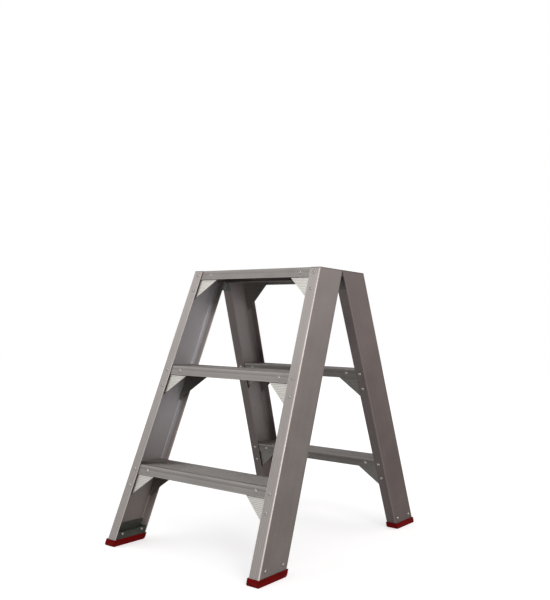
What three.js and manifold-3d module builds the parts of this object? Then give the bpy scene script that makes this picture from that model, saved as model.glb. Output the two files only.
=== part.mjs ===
// Double-sided folding step ladder: two identical riveted aluminium frames with three treads each,
// hinged together at the top. Millimetres. X runs along the treads, Y from the front frame to the
// rear frame and Z up. The origin is on the floor, midway between the four feet.
//
// Every member of a frame is a prism that leans with the frame, so it is drawn about its own datum
// height and sheared: going up, it moves towards the hinge line and, where the stiles flare, inward.

import * as THREE from 'three';
import { mergeVertices } from 'three/addons/utils/BufferGeometryUtils.js';
import Module from 'manifold-3d';

const wasm = await Module();
wasm.setup();

// ---- Driving dimensions -------------------------------------------------------------------------

const PLATFORM_HEIGHT = 700;
const LEAN = THREE.MathUtils.degToRad(21);      // each frame, from the vertical
const FLARE = THREE.MathUtils.degToRad(3.3);    // each stile, seen from the front
const TOP_WIDTH = 400;                          // over the stiles at the platform
const TOP_GAP = 0.2;                            // from each frame to the middle plane at the top
const FIT = 0.4;                                // between pieces that are pressed or riveted together

const STILE_DEPTH = 97;
const STILE_WIDTH = 28;
const STILE_WALL = 2.2;
const STILE_CORNER = 3.5;
const STILE_FILLET = 2;

const TREAD_RISE = 250;                         // from one tread to the next
const TREAD_SKIRT = 24;
const TREAD_WALL = 2.2;
const TREAD_RIB_HEIGHT = 1.2;
const TREAD_RIB_PITCH = 5;
const TREAD_LAND = 9;                           // plain strip along each edge of the tread top
const TREAD_STIFFENER_HEIGHT = 9;

const BRACKET_WALL = 2.2;
const BRACKET_REACH = 56;                       // past the flange, at the skirt's lower edge
const BRACKET_SLOPE = 0.84;                     // fall of the free edge for each mm of reach
const BRACKET_TOP_COVER = 7;                    // brackets stop this far below the tread top

const BOOT_SOLE = 5;
const BOOT_HEIGHT = 16;
const BOOT_PROUD = 1.7;
const BOOT_TOE_HEIGHT = 6;                      // the boot's outer face is upright below this
const BOOT_TOE_CHAMFER = 1.5;
const BOOT_HEEL_CHAMFER = 4;

const PLUG_TOP = 48;
const PLUG_LIP = 33;                            // top of the plug's wall on the stile's open side
const PLUG_FLOOR = 12;
const PLUG_WALL = 2.6;

const RIVET_SHANK = 2.4;
const RIVET_HEAD = 4.4;
const RIVET_HEAD_HEIGHT = 1.7;
const RIVET_TAIL = 3.4;
const RIVET_TAIL_LENGTH = 2.2;
const FOOT_RIVET_HEIGHT = 29;
const FOOT_RIVET_DEPTHS = [18, 79];             // from the hinge side of the stile

const HINGE_DROP = 12;                          // pivot below the platform
const HINGE_WIDTH = 24;
const HINGE_LEAF_LENGTH = 38;
const HINGE_LEAF_WALL = 1.8;
const HINGE_BARREL = 3.9;
const HINGE_PIN = 1.9;
const HINGE_RUNNING_FIT = 0.25;
const HINGE_KNUCKLE_GAP = 0.4;
const HINGE_LEAF_SETBACK = 1;                   // leaf edge to the other leaf's barrel
const HINGE_HEAD = 3.2;
const HINGE_HEAD_LENGTH = 1.4;

const TAN_LEAN = Math.tan(LEAN);
const COS_LEAN = Math.cos(LEAN);
const TAN_FLARE = Math.tan(FLARE);

// Levels that repeat down each frame.
const TREADS = ['top', 'middle', 'bottom'].map((name, index) => ({ name, drop: index * TREAD_RISE }));

// ---- Materials ----------------------------------------------------------------------------------

const metal = (color, roughness) => new THREE.MeshStandardMaterial({ color, roughness, metalness: 0.9 });
const plastic = (color, roughness) => new THREE.MeshStandardMaterial({ color, roughness, metalness: 0 });

const MATERIALS = {
  stile: metal(0xa6a19b, 0.42),
  tread: metal(0x93908a, 0.45),
  bracket: metal(0xc4c0b8, 0.38),
  rivet: metal(0xbab6b0, 0.3),
  hinge: metal(0x8c8a86, 0.35),
  boot: plastic(0x7e1416, 0.45),
  plug: plastic(0x4b4c45, 0.6),
};

// ---- Geometry helpers ---------------------------------------------------------------------------

// Distance along Y of a plane parallel to the frame, `depth` from its hinge side, `rise` above the datum.
const frameY = (depth, rise = 0) => -depth / COS_LEAN + rise * TAN_LEAN;

function extrude(outline, length) {
  const points = outline.map(([u, v]) => new THREE.Vector2(u, v));
  return new THREE.ExtrudeGeometry(new THREE.Shape(points), { depth: length, bevelEnabled: false });
}

// An outline in X and Y, raised from `low` to `high`.
const upright = (outline, low, high) => extrude(outline, high - low).translate(0, 0, low);

// An outline in Y and Z, run along X from `low` to `high`.
function alongX(outline, low, high) {
  const turn = new THREE.Matrix4().makeBasis(
    new THREE.Vector3(0, 1, 0), new THREE.Vector3(0, 0, 1), new THREE.Vector3(1, 0, 0));
  return extrude(outline, high - low).applyMatrix4(turn).translate(low, 0, 0);
}

// An outline in X and Z, run along Y from `low` to `high`.
function alongY(outline, low, high) {
  const turn = new THREE.Matrix4().makeBasis(
    new THREE.Vector3(1, 0, 0), new THREE.Vector3(0, 0, 1), new THREE.Vector3(0, -1, 0));
  return extrude(outline, high - low).applyMatrix4(turn).translate(0, high, 0);
}

// Leans a prism with the frame. `side` is +1 or -1 where it also follows a stile's flare, else 0.
function lean(geometry, side = 0) {
  const shear = new THREE.Matrix4().makeShear(0, 0, 0, 0, -side * TAN_FLARE, TAN_LEAN);
  return geometry.applyMatrix4(shear);
}

const rectangle = (left, right, low, high) => [[left, low], [right, low], [right, high], [left, high]];

function quarter(centreX, centreY, radius, start, steps = 3) {
  return Array.from({ length: steps + 1 }, (_, step) => {
    const angle = start + (Math.PI / 2) * (step / steps);
    return [centreX + radius * Math.cos(angle), centreY + radius * Math.sin(angle)];
  });
}

const mirrored = (outline, side) => outline.map(([x, y]) => [x * side, y]);

function solid(geometry) {
  const bare = geometry.clone();
  bare.deleteAttribute('normal');
  bare.deleteAttribute('uv');
  const merged = mergeVertices(bare, 1e-4);
  return new wasm.Manifold(new wasm.Mesh({
    numProp: 3,
    vertProperties: new Float32Array(merged.attributes.position.array),
    triVerts: new Uint32Array(merged.index.array),
  }));
}

function fromSolid(body) {
  const { vertProperties, triVerts } = body.getMesh();
  const geometry = new THREE.BufferGeometry();
  geometry.setAttribute('position', new THREE.BufferAttribute(new Float32Array(vertProperties), 3));
  geometry.setIndex(new THREE.BufferAttribute(new Uint32Array(triVerts), 1));
  geometry.computeVertexNormals();
  return geometry;
}

const cut = (geometry, ...tools) => fromSolid(
  tools.reduce((body, tool) => body.subtract(solid(tool)), solid(geometry)));

const join = (...geometries) => fromSolid(
  geometries.slice(1).reduce((body, other) => body.add(solid(other)), solid(geometries[0])));

// A round bar along X, centred on `x`.
const barAlongX = (radius, length, sides, x = 0) =>
  new THREE.CylinderGeometry(radius, radius, length, sides).rotateZ(-Math.PI / 2).translate(x, 0, 0);

function piece(name, geometry, material, position, rotation = [0, 0, 0]) {
  const mesh = new THREE.Mesh(geometry, material);
  mesh.name = name;
  mesh.position.set(...position);
  mesh.rotation.set(...rotation);
  return mesh;
}

// ---- Stiles -------------------------------------------------------------------------------------

// Level section of a stile, with its web's outer face on x = 0 and its hinge side on y = 0.
function stileSection(side) {
  const flange = STILE_WALL / COS_LEAN;
  const front = frameY(STILE_DEPTH);
  const inner = STILE_WALL + STILE_FILLET;
  const outline = [
    [-STILE_WIDTH, front],
    ...quarter(-STILE_CORNER, front + STILE_CORNER, STILE_CORNER, -Math.PI / 2),
    ...quarter(-STILE_CORNER, -STILE_CORNER, STILE_CORNER, 0),
    [-STILE_WIDTH, 0],
    [-STILE_WIDTH, -flange],
    ...quarter(-inner, -flange - STILE_FILLET, STILE_FILLET, 0).reverse(),
    ...quarter(-inner, front + flange + STILE_FILLET, STILE_FILLET, -Math.PI / 2).reverse(),
    [-STILE_WIDTH, front + flange],
  ];
  return mirrored(outline, side);
}

// Centre of a foot rivet on the web's outer face, about the stile's foot on the floor.
const footRivetSpot = (side, depth) => new THREE.Vector3(
  -side * FOOT_RIVET_HEIGHT * TAN_FLARE, frameY(depth, FOOT_RIVET_HEIGHT), FOOT_RIVET_HEIGHT);

function footRivetHole(side, depth, floor) {
  const spot = footRivetSpot(side, depth);
  const length = 2 * STILE_WIDTH + 4;
  return barAlongX(RIVET_SHANK + FIT, length, 12)
    .rotateY(side * -FLARE)
    .translate(spot.x, spot.y, spot.z + floor);
}

function stile(side) {
  const length = PLATFORM_HEIGHT - BOOT_SOLE - FIT;
  const channel = lean(upright(stileSection(side), -length, 0), side);
  const atFoot = [side * PLATFORM_HEIGHT * TAN_FLARE, -PLATFORM_HEIGHT * TAN_LEAN, 0];
  const holes = FOOT_RIVET_DEPTHS.map(
    (depth) => footRivetHole(side, depth, -PLATFORM_HEIGHT).translate(...atFoot));
  return cut(channel, ...holes);
}

// ---- Treads -------------------------------------------------------------------------------------

const TREAD_NOSE = STILE_DEPTH - STILE_WALL - FIT;
const TREAD_BACK = STILE_WALL + FIT;

// Tread section in Y and Z, with its top on z = 0 and the frame's hinge side through the origin.
function treadSection() {
  const under = -TREAD_WALL - TREAD_RIB_HEIGHT;
  const low = -TREAD_SKIRT;
  const root = -TREAD_RIB_HEIGHT;
  const nose = frameY(TREAD_NOSE);
  const back = frameY(TREAD_BACK);
  const grooved = back - nose - 2 * TREAD_LAND;
  const grooves = Math.floor(grooved / TREAD_RIB_PITCH);
  const pitch = grooved / grooves;
  const outline = [[nose, 0]];
  for (let index = 0; index < grooves; index += 1) {
    const start = nose + TREAD_LAND + index * pitch;
    outline.push(
      [start, 0], [start + 0.2 * pitch, root], [start + 0.55 * pitch, root], [start + 0.75 * pitch, 0]);
  }
  outline.push([back, 0], [frameY(TREAD_BACK, low), low], [frameY(TREAD_BACK + TREAD_WALL, low), low]);
  outline.push([frameY(TREAD_BACK + TREAD_WALL, under), under]);
  for (const share of [2 / 3, 1 / 3]) {
    const middle = nose + share * (back - nose);
    const half = TREAD_WALL / 2;
    const foot = under - TREAD_STIFFENER_HEIGHT;
    outline.push([middle + half, under], [middle + half, foot], [middle - half, foot], [middle - half, under]);
  }
  outline.push([frameY(TREAD_NOSE - TREAD_WALL, under), under]);
  outline.push([frameY(TREAD_NOSE - TREAD_WALL, low), low], [frameY(TREAD_NOSE, low), low]);
  return outline;
}

function tread(drop) {
  const half = TOP_WIDTH / 2 + drop * TAN_FLARE - STILE_WALL - STILE_FILLET - FIT;
  return alongX(treadSection(), -half, half);
}

// ---- Corner brackets ----------------------------------------------------------------------------

// A bracket is a flat plate behind a tread's skirt and a stile's flange. The top tread has none on its
// hinge side.
const bracketFaces = (level) => (level === 'top' ? ['outer'] : ['outer', 'inner']);

// One bracket about the tread top, with the stile web's outer face on x = 0 there.
function bracket(side, face) {
  const wall = STILE_WALL + FIT;
  const high = -BRACKET_TOP_COVER;
  const skirtEdge = -TREAD_SKIRT;
  const tip = -STILE_WIDTH - skirtEdge * TAN_FLARE - BRACKET_REACH;
  const slopeZ = (x) => skirtEdge - BRACKET_SLOPE * (x - tip);
  const heelX = (-wall - TAN_FLARE * slopeZ(0)) / (1 - BRACKET_SLOPE * TAN_FLARE);
  const plate = [[tip, high], [tip, skirtEdge], [heelX, slopeZ(heelX)], [-wall - high * TAN_FLARE, high]];
  const nose = TREAD_NOSE - TREAD_WALL - FIT;
  const back = TREAD_BACK + TREAD_WALL + FIT;
  const depths = face === 'outer' ? [nose, nose - BRACKET_WALL] : [back + BRACKET_WALL, back];
  return lean(alongY(mirrored(plate, side), ...depths.map((depth) => frameY(depth))));
}

// ---- Feet ---------------------------------------------------------------------------------------

// Red moulded boot: a shallow cup that follows the stile's lean, with an upright toe.
function boot(side) {
  const proud = BOOT_PROUD + FIT;
  const toe = frameY(STILE_DEPTH + proud, BOOT_TOE_HEIGHT);
  const heel = frameY(-proud);
  const heelRise = BOOT_HEEL_CHAMFER * TAN_LEAN;
  const profile = [
    [toe + BOOT_TOE_CHAMFER, 0],
    [heel - BOOT_HEEL_CHAMFER, 0],
    [heel + heelRise, BOOT_HEEL_CHAMFER],
    [frameY(-proud, BOOT_HEIGHT), BOOT_HEIGHT],
    [frameY(STILE_DEPTH + proud, BOOT_HEIGHT), BOOT_HEIGHT],
    [toe, BOOT_TOE_HEIGHT],
    [toe, BOOT_TOE_CHAMFER],
  ];
  const edges = [side * proud, -side * (STILE_WIDTH + proud)].sort((a, b) => a - b);
  const body = alongX(profile, edges[0], edges[1]);
  const flareOnly = new THREE.Matrix4().makeShear(0, 0, 0, 0, -side * TAN_FLARE, 0);
  body.applyMatrix4(flareOnly);
  const cavity = mirrored(
    rectangle(-STILE_WIDTH - FIT, FIT, frameY(STILE_DEPTH + FIT), frameY(-FIT)), side);
  return cut(body, lean(upright(cavity, BOOT_SOLE, BOOT_HEIGHT + 1), side));
}

// Plug inside the stile's lower end: an open-topped box, low on the stile's open side, that the foot
// rivets run through.
function plug(side) {
  const webSide = -STILE_WALL - FIT;
  const openSide = -STILE_WIDTH + FIT;
  const back = frameY(STILE_WALL + FIT);
  const front = frameY(STILE_DEPTH - STILE_WALL - FIT);
  const corner = STILE_FILLET;
  const outline = [
    [openSide, front], [webSide - corner, front], [webSide, front + corner],
    [webSide, back - corner], [webSide - corner, back], [openSide, back],
  ];
  const hollow = rectangle(openSide + PLUG_WALL, webSide - PLUG_WALL, front + PLUG_WALL, back - PLUG_WALL);
  const body = lean(upright(mirrored(outline, side), BOOT_SOLE + FIT, PLUG_TOP), side);
  const recess = lean(upright(mirrored(hollow, side), PLUG_FLOOR, PLUG_TOP + 1), side);
  const low = rectangle(openSide - 1, webSide - PLUG_WALL, front - 1, back + 1);
  const step = lean(upright(mirrored(low, side), PLUG_LIP, PLUG_TOP + 1), side);
  const holes = FOOT_RIVET_DEPTHS.map((depth) => footRivetHole(side, depth, 0));
  return cut(body, recess, step, ...holes);
}

// Rivet along Y: domed head outside, shank through the web and both plug walls, flattened tail inside.
function rivet() {
  const grip = STILE_WIDTH;
  const dome = [0.9, 0.5, 0].map((lift) => [RIVET_HEAD * Math.sqrt(1 - lift * lift), RIVET_HEAD_HEIGHT * lift]);
  const profile = [
    [0, -grip - RIVET_TAIL_LENGTH],
    [RIVET_TAIL, -grip - RIVET_TAIL_LENGTH],
    [RIVET_TAIL, -grip],
    [RIVET_SHANK, -grip],
    [RIVET_SHANK, FIT],
    ...dome.reverse().map(([radius, lift]) => [radius, FIT + lift]),
    [0, FIT + RIVET_HEAD_HEIGHT],
  ];
  return new THREE.LatheGeometry(profile.map(([radius, lift]) => new THREE.Vector2(radius, lift)), 16);
}

// ---- Hinges -------------------------------------------------------------------------------------

const HINGE_SETBACK = (TOP_GAP + HINGE_DROP * TAN_LEAN) * COS_LEAN;   // pivot to each frame's face

// Leaf about the pivot, lying on the frame's hinge side. `knuckles` are its barrels' ends along X.
function hingeLeaf(knuckles) {
  const face = -HINGE_SETBACK + FIT;
  const low = -HINGE_BARREL - HINGE_LEAF_SETBACK;
  const half = HINGE_WIDTH / 2;
  const plate = alongX(rectangle(face, face + HINGE_LEAF_WALL, -HINGE_LEAF_LENGTH, low), -half, half);
  const parts = [plate];
  for (const [start, end] of knuckles) {
    parts.push(alongX(rectangle(face, face + HINGE_LEAF_WALL, low - 1, 0), start, end));
    parts.push(barAlongX(HINGE_BARREL, end - start, 20, (start + end) / 2));
  }
  const bore = barAlongX(HINGE_PIN + HINGE_RUNNING_FIT, HINGE_WIDTH + 2, 20);
  return cut(join(...parts), bore);
}

function knuckles(indices) {
  const width = (HINGE_WIDTH - 2 * HINGE_KNUCKLE_GAP) / 3;
  return indices.map((index) => {
    const start = -HINGE_WIDTH / 2 + index * (width + HINGE_KNUCKLE_GAP);
    return [start, start + width];
  });
}

function hingePin() {
  const end = HINGE_WIDTH / 2 + HINGE_KNUCKLE_GAP;
  const tip = end + HINGE_HEAD_LENGTH;
  const profile = [
    [0, -tip], [HINGE_HEAD, -tip], [HINGE_HEAD, -end], [HINGE_PIN, -end],
    [HINGE_PIN, end], [HINGE_HEAD, end], [HINGE_HEAD, tip], [0, tip],
  ];
  return new THREE.LatheGeometry(profile.map(([radius, lift]) => new THREE.Vector2(radius, lift)), 20)
    .rotateZ(-Math.PI / 2);
}

// ---- Assembly -----------------------------------------------------------------------------------

// Positions on the middle plane side of a frame, `drop` below the platform.
const stileTop = (side, drop) => [
  side * (TOP_WIDTH / 2 + drop * TAN_FLARE), -TOP_GAP - drop * TAN_LEAN, PLATFORM_HEIGHT - drop];

const hingeX = (side) => side * (TOP_WIDTH / 2 - STILE_WIDTH / 2);

// Builds one frame leaning as the front one. `end` is front or rear; its sides are named as the
// finished ladder's sides, so the rear frame, turned about, swaps them.
function frame(end, leafKnuckles) {
  const group = new THREE.Group();
  const rivetShape = rivet();
  const leafShape = hingeLeaf(knuckles(leafKnuckles));
  for (const { name, drop } of TREADS) {
    group.add(piece(`tread_${end}_${name}`, tread(drop), MATERIALS.tread,
      [0, -TOP_GAP - drop * TAN_LEAN, PLATFORM_HEIGHT - drop]));
  }
  for (const side of [-1, 1]) {
    const turned = end === 'rear' ? -side : side;
    const label = `${end}_${turned < 0 ? 'left' : 'right'}`;
    const floor = stileTop(side, PLATFORM_HEIGHT);
    group.add(piece(`stile_${label}`, stile(side), MATERIALS.stile, stileTop(side, 0)));
    group.add(piece(`foot_${label}`, boot(side), MATERIALS.boot, floor));
    group.add(piece(`foot_plug_${label}`, plug(side), MATERIALS.plug, floor));
    FOOT_RIVET_DEPTHS.forEach((depth, index) => {
      const spot = footRivetSpot(side, depth).add(new THREE.Vector3(...floor)).toArray();
      group.add(piece(`foot_rivet_${label}_${index + 1}`, rivetShape, MATERIALS.rivet, spot,
        [0, -side * FLARE, -side * Math.PI / 2]));
    });
    for (const { name, drop } of TREADS) {
      for (const face of bracketFaces(name)) {
        group.add(piece(`bracket_${label}_${name}_${face}`, bracket(side, face), MATERIALS.bracket,
          stileTop(side, drop)));
      }
    }
    group.add(piece(`hinge_leaf_${label}`, leafShape, MATERIALS.hinge,
      [hingeX(side), 0, PLATFORM_HEIGHT - HINGE_DROP], [-LEAN, 0, 0]));
  }
  return group;
}

const ladder = new THREE.Group();
const frontFrame = frame('front', [0, 2]);
const rearFrame = frame('rear', [1]);
rearFrame.rotation.z = Math.PI;
ladder.add(frontFrame, rearFrame);
for (const side of [-1, 1]) {
  ladder.add(piece(`hinge_pin_${side < 0 ? 'left' : 'right'}`, hingePin(), MATERIALS.hinge,
    [hingeX(side), 0, PLATFORM_HEIGHT - HINGE_DROP]));
}

export default ladder;
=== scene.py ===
"""Looks of the double-sided folding step ladder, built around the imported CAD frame.

Every extrusion, bracket, boot and rivet gets a finished mesh here, in the place of its CAD solid where it has
one. The plugs and the hinges keep their CAD solids, with rounded edges. Sizes are in millimetres, read from
the frame or named below; Blender gets metres. The front frame is modelled, and each of its pieces is turned
about Z for the rear frame.
"""

import math

import bmesh
import bpy
import numpy as np
from mathutils import Matrix, Vector


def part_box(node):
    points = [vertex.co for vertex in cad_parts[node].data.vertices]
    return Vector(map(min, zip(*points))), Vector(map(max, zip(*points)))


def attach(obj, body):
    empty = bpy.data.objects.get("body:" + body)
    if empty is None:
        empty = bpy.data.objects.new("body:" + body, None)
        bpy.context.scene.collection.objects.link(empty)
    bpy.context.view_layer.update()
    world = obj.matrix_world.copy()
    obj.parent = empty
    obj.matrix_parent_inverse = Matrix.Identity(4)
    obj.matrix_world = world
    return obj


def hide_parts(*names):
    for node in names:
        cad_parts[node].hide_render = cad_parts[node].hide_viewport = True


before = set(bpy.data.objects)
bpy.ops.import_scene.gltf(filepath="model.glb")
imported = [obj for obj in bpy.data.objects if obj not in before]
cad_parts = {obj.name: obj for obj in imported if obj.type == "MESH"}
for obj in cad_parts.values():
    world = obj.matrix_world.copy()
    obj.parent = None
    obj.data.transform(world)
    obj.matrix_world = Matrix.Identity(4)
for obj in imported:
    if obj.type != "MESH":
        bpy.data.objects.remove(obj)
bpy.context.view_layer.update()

MM = 0.001
ENDS = {"front": 1, "rear": -1}         # the rear frame is the front one, turned half round
SIDES = {"left": -1, "right": 1}
LEVELS = ("top", "middle", "bottom")
FACES = ("outer", "inner")              # away from the hinge and beside it
WHITE = (1, 1, 1, 1)

# ---- Measures read from the frame ----------------------------------------------------------------


def cad_points(node):
    """The corners of a CAD node at rest, in millimetres."""
    return np.array([v.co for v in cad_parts[node].data.vertices]) / MM


def at_height(points, z, within=0.5):
    """Those of the points that lie level with z."""
    return points[abs(points[:, 2] - z) < within]


stile_points = cad_points("stile_front_right")
PLATFORM = stile_points[:, 2].max()
STILE_END = stile_points[:, 2].min()
stile_top = at_height(stile_points, PLATFORM)
stile_end = at_height(stile_points, STILE_END)
TAN_LEAN = (stile_top[:, 1].max() - stile_end[:, 1].max()) / (PLATFORM - STILE_END)
TAN_FLARE = (stile_end[:, 0].max() - stile_top[:, 0].max()) / (PLATFORM - STILE_END)
TOP_HALF_WIDTH = stile_top[:, 0].max()
TOP_GAP = -stile_top[:, 1].max()        # from the hinge's plane to the stile's inner flange
STILE_WIDTH = np.ptp(stile_top[:, 0])
STILE_DEPTH = np.ptp(stile_top[:, 1])   # measured level, as every depth here

TREAD_TOPS = {level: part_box(f"tread_front_{level}")[1].z / MM for level in LEVELS}
tread_points = cad_points("tread_front_top")
tread_top = at_height(tread_points, PLATFORM)
TREAD_BACK = -TOP_GAP - tread_top[:, 1].max()
TREAD_NOSE = -TOP_GAP - tread_top[:, 1].min()
TREAD_SKIRT = np.ptp(tread_points[:, 2])

bracket_points = cad_points("bracket_front_right_top_outer")
BRACKET_HIGH = bracket_points[:, 2].max() - PLATFORM
BRACKET_LOW = bracket_points[:, 2].min() - PLATFORM
BRACKET_REACH = TOP_HALF_WIDTH - bracket_points[:, 0].min()   # from the web's face at the tread top

LEAN = math.atan(TAN_LEAN)
FLARE = math.atan(TAN_FLARE)

# ---- Sizes that aren't read from the frame -------------------------------------------------------

WALL = 2.2
LEVEL_WALL = WALL / math.cos(LEAN)      # a leaning wall, measured level
FIT = 0.4                               # between pieces that touch

STILE_CORNER = 3.5
STILE_FILLET = 2.0
STILE_LAND = 2.4                        # plain strip beside each edge of a reeded face
LIP_ROUNDING = WALL * 0.42              # of a flange's free edge
LIP_STEPS = 7
REED_PITCH = 4.4
REED_DEPTH = 0.4
REED_STEPS = 4                          # points along each reed
END_CHAMFER = 0.35                      # deburred saw cuts
DARK_TOP_LINE = 3.0                         # dark line below the top cuts

TREAD_EDGE = 2.2                        # rounding along the top's edges
TREAD_LAND = 9.0                        # plain strip beside each edge of the top
TREAD_RIB_PITCH = 5.0
TREAD_RIB_DEPTH = 1.2
TREAD_NICK = 0.28                       # depth of the two fine lines along each rib
TREAD_UNDERSIDE = -WALL - TREAD_RIB_DEPTH
LEANING_ZONE = 5.0                      # how far from its nose and back a tread leans with the stiles

SKIRT_LINE = 0.42                       # how far down the skirt the line along it is, as a share
SKIRT_LINE_DEPTH = 0.3
SKIRT_STEP = 0.15                       # how far the skirt stands back below the line
SKIRT_OUTER_CORNER = 0.7                # blunt corners of the lower edge
SKIRT_INNER_CORNER = 0.5

BRACKET_RIB_PITCH = 3.8
BRACKET_RIB_DEPTH = 0.3
BRACKET_PLAIN = 12.0                    # smooth lowest part of each plate
BRACKET_HEEL = 0.4                      # blunt lowest end

BOOT_ROUNDING = 0.8
BOOT_EDGE = math.radians(15)            # edges sharper than this are rounded
BOOT_GROOVE_HEIGHT = 11.0               # middle of the groove round the boot
BOOT_GROOVE_WIDTH = 1.2
BOOT_GROOVE_DEPTH = 0.6
BOOT_FACE_ORDER = Vector((1.0, 7.3, 53.1))      # a direction along which no two of its faces are level

RIVET_RADIUS = 4.4
RIVET_HEIGHT = 2.0
RIVET_RIM = 0.62                        # height of the head's rim, below its dome
RIVET_MANDREL = 1.7
RIVET_SIDES = 28
FLANGE_RIVET_INSET = 16.0               # from the web's outer face
FLANGE_RIVET_DROPS = (12.0, 52.0)       # below the tread top
FLANGE_RIVET_SEAT = 0.1                 # how far it is pressed into the reeds
SKIRT_RIVET_REACH = 30.0                # from the flange's edge
SKIRT_RIVET_DROP = 12.0
SKIRT_RIVET_SEAT = 0.3
LEAF_RIVET_DROPS = (13.0, 29.0)         # below the leaf's top
LEAF_RIVET_SCALE = 0.68
FOOT_TAIL_LENGTH = 2.2
FOOT_TAIL_SCALE = 0.85

PLUG_BEVEL = 0.5
LEAF_BEVEL = 0.25
PIN_BEVEL = 0.3
BEVEL_EDGE = math.radians(35)           # edges of the CAD nodes sharper than this are bevelled

# How bright each corner of a mesh is painted, from 0 in a groove to 1 on an edge: edges are lighter, as
# rubbing and a painted highlight, and grooves darker. Below 0 a face looks into a channel or away, where the
# metal gets another tone: painted light inside the stiles and painted shade on the brackets.
CREST_WEAR = 0.75
CORNER_WEARS_AND_HIGHLIGHTS = (0.8, 0.88, 1.0, 1.0, 0.88, 0.8)
LIP_WEAR_AND_HIGHLIGHT = 0.9
UNDER_WEAR = 0.3
# Inside a stile's channel, for its painted light.
CHANNEL_SHADING = -1
HIDDEN_SHADE = -0.4                      # on a bracket's rib that faces away, for its painted shade; its grooves go down to -1

# ---- Places on the front frame -------------------------------------------------------------------


def place(inset, depth, z, side):
    """A point `inset` from the web's outer face and `depth` level from the hinge side, at height z."""
    drop = PLATFORM - z
    x = side * (TOP_HALF_WIDTH + drop * TAN_FLARE - inset)
    return Vector((x, -TOP_GAP - drop * TAN_LEAN - depth, z))


def across(x, depth, z):
    """A point at x, `depth` level from the hinge side, at height z."""
    return Vector((x, -TOP_GAP - (PLATFORM - z) * TAN_LEAN - depth, z))


# ---- Outlines: closed rings of (first measure, second measure, wear and shading) -----------------


def arc(centre, radius, start, turn=math.pi / 2, steps=5):
    """Points on an arc, from angle `start`, turning by `turn`."""
    return [
        (centre[0] + radius * math.cos(start + turn * i / steps),
         centre[1] + radius * math.sin(start + turn * i / steps))
        for i in range(steps + 1)
    ]


def marked(points, wear_and_shading):
    """Outline points that all have the same wear."""
    return [(a, b, wear_and_shading) for a, b in points]


def rounded_corner(centre, radius, start):
    """A quarter round whose middle is painted the brightest, as rubbing and a painted highlight."""
    return [(a, b, wear_and_shading) for (a, b), wear_and_shading in zip(arc(centre, radius, start), CORNER_WEARS_AND_HIGHLIGHTS)]


def reeds(start, end, inward):
    """Round reeds along a straight face. The grooves have 1 less wear than the crests, so they are darker and
    the inside's painted tone reaches a little into them."""
    start, end, inward = Vector(start), Vector(end), Vector(inward)
    steps = REED_STEPS * max(1, round((end - start).length / REED_PITCH))
    points = []
    for i in range(steps + 1):
        sunk = math.cos(math.pi * i / REED_STEPS) ** 2
        points.append((*(start.lerp(end, i / steps) + inward * (REED_DEPTH * sunk)), CREST_WEAR - sunk))
    return points


def unit_rows(rows):
    """The rows as directions of length 1."""
    return rows / np.linalg.norm(rows, axis=1)[:, None]


def inset_outline(outline, amount):
    """The closed outline moved into its own area by `amount`."""
    points = np.array([p[:2] for p in outline])
    following = np.roll(points, -1, 0)
    ahead = unit_rows(following - points)
    behind = unit_rows(points - np.roll(points, 1, 0))
    tangent = unit_rows(ahead + behind)
    twice_area = np.sum(points[:, 0] * following[:, 1] - following[:, 0] * points[:, 1])
    normal = np.column_stack((-tangent[:, 1], tangent[:, 0])) * math.copysign(1, twice_area)
    return [(*(p + n * amount), wear_and_shading) for p, n, (_, _, wear_and_shading) in zip(points, normal, outline)]


# ---- Mesh building -------------------------------------------------------------------------------


def metal_layers(mesh):
    """The UV map and the vertex values that the metals read."""
    return mesh.loops.layers.uv.new("Along"), mesh.verts.layers.float.new("wear_and_shading")


def loft(name, rings, stations, wear_and_shading_values):
    """A closed solid through rings of Vectors in millimetres, with its ends capped.

    The UV map Along runs round the ring in U and along the loft in V, in metres.
    """
    mesh = bmesh.new()
    along, wear_and_shading = metal_layers(mesh)
    rows = []
    for ring in rings:
        row = [mesh.verts.new(p * MM) for p in ring]
        for vertex, value in zip(row, wear_and_shading_values):
            vertex[wear_and_shading] = value
        rows.append(row)
    count = len(rings[0])
    girth = [0.0]
    for i in range(count):
        girth.append(girth[-1] + (rings[0][(i + 1) % count] - rings[0][i]).length * MM)
    for k, (low, high) in enumerate(zip(rows, rows[1:])):
        for i in range(count):
            j = (i + 1) % count
            face = mesh.faces.new((low[i], low[j], high[j], high[i]))
            corners = ((i, k), (i + 1, k), (i + 1, k + 1), (i, k + 1))
            for loop, (u, v) in zip(face.loops, corners):
                loop[along].uv = (girth[u], stations[v] * MM)
    for row in (rows[0][::-1], rows[-1]):
        for loop in mesh.faces.new(row).loops:
            loop[along].uv = (loop.vert.co.x, loop.vert.co.y)
    bmesh.ops.recalc_face_normals(mesh, faces=mesh.faces)
    return to_object(mesh, name)


def link(name, data):
    """A new object of the scene."""
    made = bpy.data.objects.new(name, data)
    bpy.context.scene.collection.objects.link(made)
    return made


def to_object(mesh, name, sharp=32):
    """The mesh as a smooth object that keeps its edges over `sharp` degrees."""
    data = bpy.data.meshes.new(name)
    mesh.to_mesh(data)
    mesh.free()
    data.shade_smooth()
    data.set_sharp_from_angle(angle=math.radians(sharp))
    return link(name, data)


def prism(name, outline, first, last, where):
    """An outline run along a member between two stations, with deburred ends.

    `where` gives the place of an outline's point at a station.
    """
    narrow = inset_outline(outline, END_CHAMFER)
    step = math.copysign(END_CHAMFER, last - first)
    stations = (first, first + step, last - step, last)
    sections = (narrow, outline, outline, narrow)
    rings = [[where(a, b, t) for a, b, _ in section] for section, t in zip(sections, stations)]
    return loft(name, rings, stations, [wear_and_shading for _, _, wear_and_shading in outline])


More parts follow.
